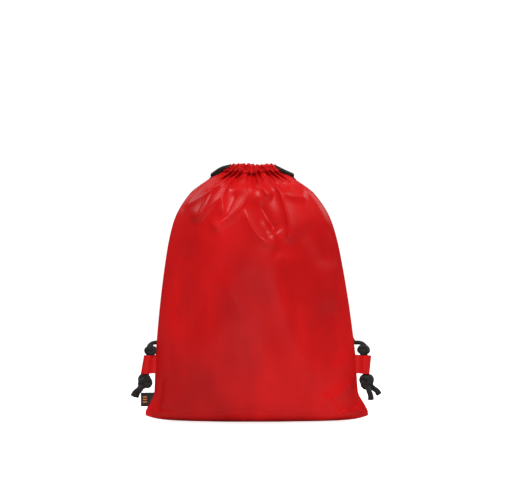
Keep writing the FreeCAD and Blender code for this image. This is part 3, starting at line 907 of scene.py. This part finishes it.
def cords_at_mouth():
    """The cords in the channel, the tight bend of each at the far end, and its two ends coming out."""
    runs = "left_cord_front_run", "right_cord_front_run"
    opening_halves(front_cords_half, "front_cords", "cord_braid", *runs)
    for cord, outward in SIDES:
        rear = mouth_cord_route(cord, BACK)
        piece = braided_cord(f"{cord}_cord_back_run", rear, HIDDEN_RADIUS, step=1.5 * MM)
        finish_piece(piece, "bag", "cord_braid", f"{cord}_cord_rear_run")
        front = mouth_cord_route(cord, FRONT)
        exit_end, far_end = (-1, 0) if outward == RIGHT else (0, -1)
        a, b = front[far_end], rear[far_end]
        turn = Vector((-outward * 5 * MM, 0, 0))
        bend = [a, a + turn * 0.6, (a + b) / 2 + turn, b + turn * 0.6, b]
        piece = braided_cord(f"{cord}_cord_bend", bend, HIDDEN_RADIUS)
        finish_piece(piece, "bag", "cord_braid", f"{cord}_cord_bight")
        for face, label in ((front, "front"), (rear, "rear")):
            inside = face[exit_end]
            lead = centreline(f"{cord}_cord_{label}_lead", 4 * MM)
            joined = centreline(f"{cord}_strap_{label}_strand")[0]
            drop = Vector((0, 0, -3.4 * MM if label == "rear" else -0.6 * MM))
            route = [inside]
            for step, point in enumerate(lead[2:-1], start=2):
                near = 1 - step / (len(lead) - 1)
                shift = (inside - Vector(lead[0])) * near ** 1.3
                route.append(Vector(point) + shift + drop * 4 * near * (1 - near))
            route = relaxed(route + [Vector(joined)], 2, 4 * MM)
            piece = braided_cord(f"{cord}_cord_{label}_end", route, CORD_RADIUS)
            finish_piece(piece, "bag", "cord_braid", f"{cord}_cord_{label}_lead")


def relaxed(route, rounds, step=6 * MM):
    """The same route with its bends eased, as a slack cord hangs; its ends stay."""
    route = np.array(route, float)
    run = distances(route)
    route = sampled(route, run, np.linspace(0, run[-1], int(run[-1] / step) + 2))
    for _ in range(rounds):
        ease(route)
    return [Vector(point) for point in route]


# how a strand reaches its upper knot, in mm from its middle: outwards, back, up
STRAND_END = ((-13, 12, 10), (-6, 7, 12), (1, 1.5, 9.5), (5.5, 0, 3.5), (2, 0, 0))


def knot_place(name, which, outward):
    """The middle of a knot; the upper left one sits tucked in behind the edge of the bag."""
    tucked = Vector((0, 1, 0)) * MM
    if which == "upper":
        tucked = Vector((4 if outward == LEFT else 0, 2, -2)) * MM
    return middle_of(f"{name}_{which}_knot") + tucked


def strap_strands():
    """The two slack strands of each shoulder strap, from the mouth down to the upper knot."""
    for name, outward in SIDES:
        knot = knot_place(name, "upper", outward)
        for label in ("front", "rear"):
            route = relaxed(centreline(f"{name}_strap_{label}_strand", 9 * MM, knot), 10)
            beside = Vector((0, (2.4 if label == "rear" else -2.4) * MM, 0))
            over = [knot + beside + Vector((outward * x, y, z)) * MM for x, y, z in STRAND_END]
            route = [point for point in route if (point - knot).length > 46 * MM] + over
            route = relaxed(route, 3, 4 * MM)
            piece = braided_cord(f"{name}_strap_{label}_cord", route, CORD_RADIUS)
            finish_piece(piece, f"{name}_strap", "cord_braid", f"{name}_strap_{label}_strand")


def tied_knot(name, centre, size, turn, tilt, radius):
    """An overhand knot drawn tight: a trefoil whose cut ends lie hidden in its middle."""
    half = (size - Vector((radius,) * 3)) / 3
    route = []
    for t in np.linspace(math.pi / 3 - 0.05, 7 * math.pi / 3 + 0.05, 40):
        out = 2 + math.cos(3 * t)
        x, y, z = out * math.cos(2 * t + turn), 1.25 * math.sin(3 * t), out * math.sin(2 * t + turn)
        x, y = x * math.cos(tilt) - y * math.sin(tilt), x * math.sin(tilt) + y * math.cos(tilt)
        route.append(centre + Vector((x * half.x, y * half.y, z * half.z)))
    return braided_cord(name, route, radius, step=0.8 * MM)


def frayed_tail(name, route):
    """A cut cord end: flared, its braid opening, the cut ragged."""
    path = smooth_path(route, 0.6 * MM)
    radii = cord_radii(path, TAIL_RADIUS, flare=0.12)
    radii[-1] *= 0.55 + 0.2 * rng.random(CORD_SIDES)
    radii[-2] *= 0.92 + 0.08 * rng.random(CORD_SIDES)
    return add_tubes(name, [(path, radii)], cord_braid)


def side_group(name, outward):
    """What hangs at a lower side: two knots, the doubled cord between them, and two cut tails."""
    upper, lower = knot_place(name, "upper", outward), knot_place(name, "lower", outward)
    for place, label, size, turn, tilt, radius in (
        (upper, "upper", (10.4, 10.0, 9.8), 0.4 * outward, 0.5 * outward, 3.8 * MM),
        (lower, "lower", (12.4, 11.0, 12.8), 1.2 - 0.6 * outward, -0.35 * outward, 4.3 * MM),
    ):
        piece = tied_knot(f"{name}_{label}_knot_cord", place, Vector(size) * MM, turn, tilt, radius)
        finish_piece(piece, f"{name}_tab", "cord_braid", f"{name}_{label}_knot")
    tubes = []
    inside = lower + Vector((0, 0, 5 * MM))
    for across in (-1, 1):
        shift = Vector((across * DOUBLED_RADIUS, -across * 0.8 * MM, 0))
        path = smooth_path([upper + shift, (upper + lower) / 2 + shift, inside + shift], 0.8 * MM)
        tubes.append((path, cord_radii(path, DOUBLED_RADIUS)))
    piece = add_tubes(f"{name}_tab_cords", tubes, cord_braid)
    finish_piece(piece, f"{name}_tab", "cord_braid", f"{name}_tab_cord")
    for label in ("front", "rear"):
        ends = [Vector(end) for end in node_ends(f"{name}_{label}_tail")]
        near, far = sorted(ends, key=lambda end: (end - lower).length)
        sag = Vector((outward * 0.8 * MM, 0, 0.8 * MM))
        aside = Vector((0, (3.1 if label == "rear" else -3.1) * MM, 0))
        near, far = near + aside, near + (far - near) * 0.78 + aside
        route = [lower + (near - lower) * 0.5, near, (near + far) / 2 + sag, far]
        piece = frayed_tail(f"{name}_{label}_cut_end", route)
        finish_piece(piece, f"{name}_{label}_tail", "cord_braid", f"{name}_{label}_tail")


# -------- tab loops and label

def tab_grid(name, outward):
    """A band of shell cloth folded round the cords, both its ends in the side seam; rows go up."""
    low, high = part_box(f"{name}_tab_loop")
    seam = (low.x if outward == RIGHT else high.x) - outward * 5.5 * MM
    reach = (high.x if outward == RIGHT else low.x) - seam
    around = np.linspace(-math.pi, math.pi, 61)[None, :]
    rise = np.linspace(0, 1, 33)[:, None]
    share = (1 + np.cos(around)) / 2
    stretch = 1 + 0.05 * (0.5 - rise)
    lean = TAB_LEAN * (rise - (0.5 if outward == LEFT else 0.05))
    x = seam + reach * stretch * share ** 0.8 + lean * share
    round_end = np.clip(share - 0.55, 0, 1) / 0.45
    full = smoothstep(0.12, 0.62, share) * np.sqrt(np.clip(1 - round_end ** 2, 0, 1))
    crumple = 0.45 * np.sin(9 * rise + 3 * around + outward) * np.sin(math.pi * share)
    pinch = 1 - 0.16 * np.exp(-((rise - 0.08) / 0.07) ** 2) - 0.16 * np.exp(-((rise - 0.92) / 0.07) ** 2)
    y = np.sin(around) / np.maximum(np.abs(np.sin(around)), 1e-6)
    y = y * (0.35 * MM + 4.6 * MM * full * pinch + 0.4 * MM * crumple * share)
    y = y * np.minimum(1, np.abs(np.sin(around)) * 9) + 0 * rise
    height = high.z - low.z
    tilt = -0.05 * (x - seam) * outward
    z = low.z - 1.5 * MM + height * 1.13 * rise + tilt + 0.35 * MM * np.sin(5 * around + 2 * rise) * share
    return np.stack([x, y, z], axis=-1)


def tab_loops():
    """The two tab bands and the zigzag bar tacks that close them at the seam."""
    for name, outward in SIDES:
        grid = tab_grid(name, outward)
        loop = cloth_sheet(f"{name}_tab_band", grid, shell_cloth, outward == RIGHT, 0.7 * MM)
        tubes = []
        for face, column in ((FRONT, 7), (BACK, -8)):
            edge = grid[2:-2, column]
            zigzag = edge + np.outer((-1.0) ** np.arange(len(edge)), (0.8 * MM, 0, 0))
            zigzag[:, 1] += face * 0.15 * MM
            path = smooth_path(zigzag, 0.35 * MM)
            tubes.append((path, np.full((len(path), 6), 0.24 * MM)))
        tack = add_tubes(f"{name}_tab_bar_tack", tubes, red_thread)
        hinge = Vector((grid[0, 0, 0], 0, middle_of(f"{name}_tab_loop").z))
        bend = {"start": hinge, "reach": Vector((outward * 4.5 * MM, 0, 0))}
        finish_piece(loop, f"{name}_tab", "shell_cloth", f"{name}_tab_loop", **bend)
        finish_piece(tack, f"{name}_tab", "thread", f"{name}_tab_bartack", **bend)


def folded_label():
    """A woven ribbon folded double, its cut ends in the left side seam."""
    low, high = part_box("woven_label")
    seam = high.x + 4.5 * MM
    along = np.linspace(0, 1, 61)[None, :]
    rise = np.linspace(0, 1, 25)[:, None]
    share = 1 - np.abs(2 * along - 1)
    face = np.where(along < 0.5, -1.0, 1.0)
    round_fold = np.sqrt(np.clip(1 - np.clip((share - 0.93) / 0.07, 0, 1) ** 2, 0, 1))
    wave = 0.7 * MM * np.sin(share * 5.0 + 0.8 * rise) * share
    crease = 0.35 * MM * np.exp(-((share - 0.34) / 0.05) ** 2)
    x = seam + (low.x - seam) * share + 0 * rise
    y = face * (0.45 * MM * round_fold + 0.1 * MM + crease) + wave
    z = low.z + (high.z - low.z) * (rise * 1.04 - 0.02) + 0.4 * MM * share * (0.5 - rise) + 0 * x
    grid = np.stack([x, y, z], axis=-1)
    piece = cloth_sheet("folded_label", grid, label_weave, flip=True, thickness=0.3 * MM)
    root = Vector((high.x + 2.2 * MM, 0, (low.z + high.z) / 2))
    bend = {"start": root, "reach": Vector((-3.2 * MM, 0, 0))}
    finish_piece(piece, "label", "label_weave", "woven_label", **bend)
    tubes = []
    for bar in (-1, 0, 1):
        level = (low.z + high.z) / 2 + bar * 3.9 * MM
        for row in np.arange(-0.7, 0.71, 0.35) * MM:
            across = np.linspace(low.x + 3.0 * MM, low.x + 9.4 * MM, 9)
            here = np.clip((across - seam) / (low.x - seam), 0, 1)
            surface = -0.62 * MM + 0.7 * MM * np.sin(here * 5.0 + 0.4) * here
            path = np.stack([across, surface, level + row + 0 * across], axis=1)
            tubes.append((path, np.full((len(path), 6), 0.2 * MM)))
    motif = add_tubes("label_bars", tubes, orange_thread)
    finish_piece(motif, "label", "thread")


cords_at_mouth()
strap_strands()
for name, outward in SIDES:
    side_group(name, outward)
tab_loops()
folded_label()


# -------- floor, light and camera

def paper():
    """White paper, lit evenly enough to melt into the white surroundings and hardly mirrored in the cloth."""
    n = Nodes("paper")
    rays = n.add("ShaderNodeLightPath").outputs
    glow = n.maths("ADD", n.maths("MULTIPLY", rays["Is Camera Ray"], 0.72), 0.12)
    glow = n.maths("SUBTRACT", glow, n.maths("MULTIPLY", rays["Is Glossy Ray"], 0.10))
    return n.surface({
        "Base Color": n.mix(rays["Is Glossy Ray"], (0.9,) * 3, (0.12,) * 3),
        "Roughness": 0.9,
        "Emission Color": (1, 1, 1, 1),
        "Emission Strength": glow,
    })


def pale_floor():
    """A wide sheet of white paper that meets the white surroundings with no visible edge."""
    half, count = 6.0, 25
    x, y = np.meshgrid(*[np.linspace(-half, half, count)] * 2)
    points = np.stack([x, y, np.full_like(x, -0.2 * MM)], axis=-1).reshape(-1, 3)
    faces = grid_faces(np.arange(len(points)).reshape(count, count))
    add_object("floor", points, faces, paper())


def soft_box(place, target, width, height, power):
    """A rectangular soft light that points at a target."""
    light = bpy.data.lights.new("soft_box", "AREA")
    light.shape = "RECTANGLE"
    light.size, light.size_y, light.energy = width, height, power
    lamp = bpy.data.objects.new("soft_box", light)
    lamp.location = place
    lamp.rotation_euler = (Vector(target) - Vector(place)).to_track_quat("-Z", "Y").to_euler()
    SCENE.collection.objects.link(lamp)


def studio():
    """White surroundings that light the cloth gently and are hardly mirrored in it, and four soft boxes."""
    world = bpy.data.worlds.new("studio")
    world.use_nodes = True
    tree = world.node_tree
    rays = tree.nodes.new("ShaderNodeLightPath")
    dim = tree.nodes.new("ShaderNodeMapRange")
    dim.inputs["To Min"].default_value = AMBIENT
    dim.inputs["To Max"].default_value = MIRRORED
    tree.links.new(rays.outputs["Is Glossy Ray"], dim.inputs["Value"])
    seen = tree.nodes.new("ShaderNodeMapRange")
    seen.inputs["To Max"].default_value = 1.05
    tree.links.new(dim.outputs["Result"], seen.inputs["To Min"])
    tree.links.new(rays.outputs["Is Camera Ray"], seen.inputs["Value"])
    tree.links.new(seen.outputs["Result"], tree.nodes["Background"].inputs["Strength"])
    tree.nodes["Background"].inputs["Color"].default_value = (1, 1, 1, 1)
    SCENE.world = world
    SCENE.view_settings.view_transform = "Standard"
    middle, top = (0, 0, 0.2), (0, 0, 0.3)
    soft_box((0.15, -1.15, 2.1), middle, 0.6, 0.5, 38)
    soft_box((-0.2, -2.2, 0.2), middle, 0.9, 0.7, 4.5)
    soft_box((-1.2, 0.5, 1.5), top, 0.5, 0.9, 8)
    soft_box((1.3, 0.5, 1.3), top, 0.5, 0.9, 8)


def camera():
    """Straight on from the front, level with the bag's upper half."""
    view = bpy.data.cameras.new("camera")
    view.sensor_width = 36
    distance, frame_width = 2.5, 0.7666
    view.lens = view.sensor_width * distance / frame_width
    eye = bpy.data.objects.new("camera", view)
    eye.location = (-6.8 * MM, -distance, 259.6 * MM)
    eye.rotation_euler = (math.pi / 2, 0, 0)
    SCENE.collection.objects.link(eye)
    SCENE.camera = eye


for node in ("left_seam_allowance", "right_seam_allowance", "bottom_seam_allowance"):
    NODES[node].data.materials.clear()
    NODES[node].data.materials.append(shell_cloth)

pale_floor()
studio()
camera()
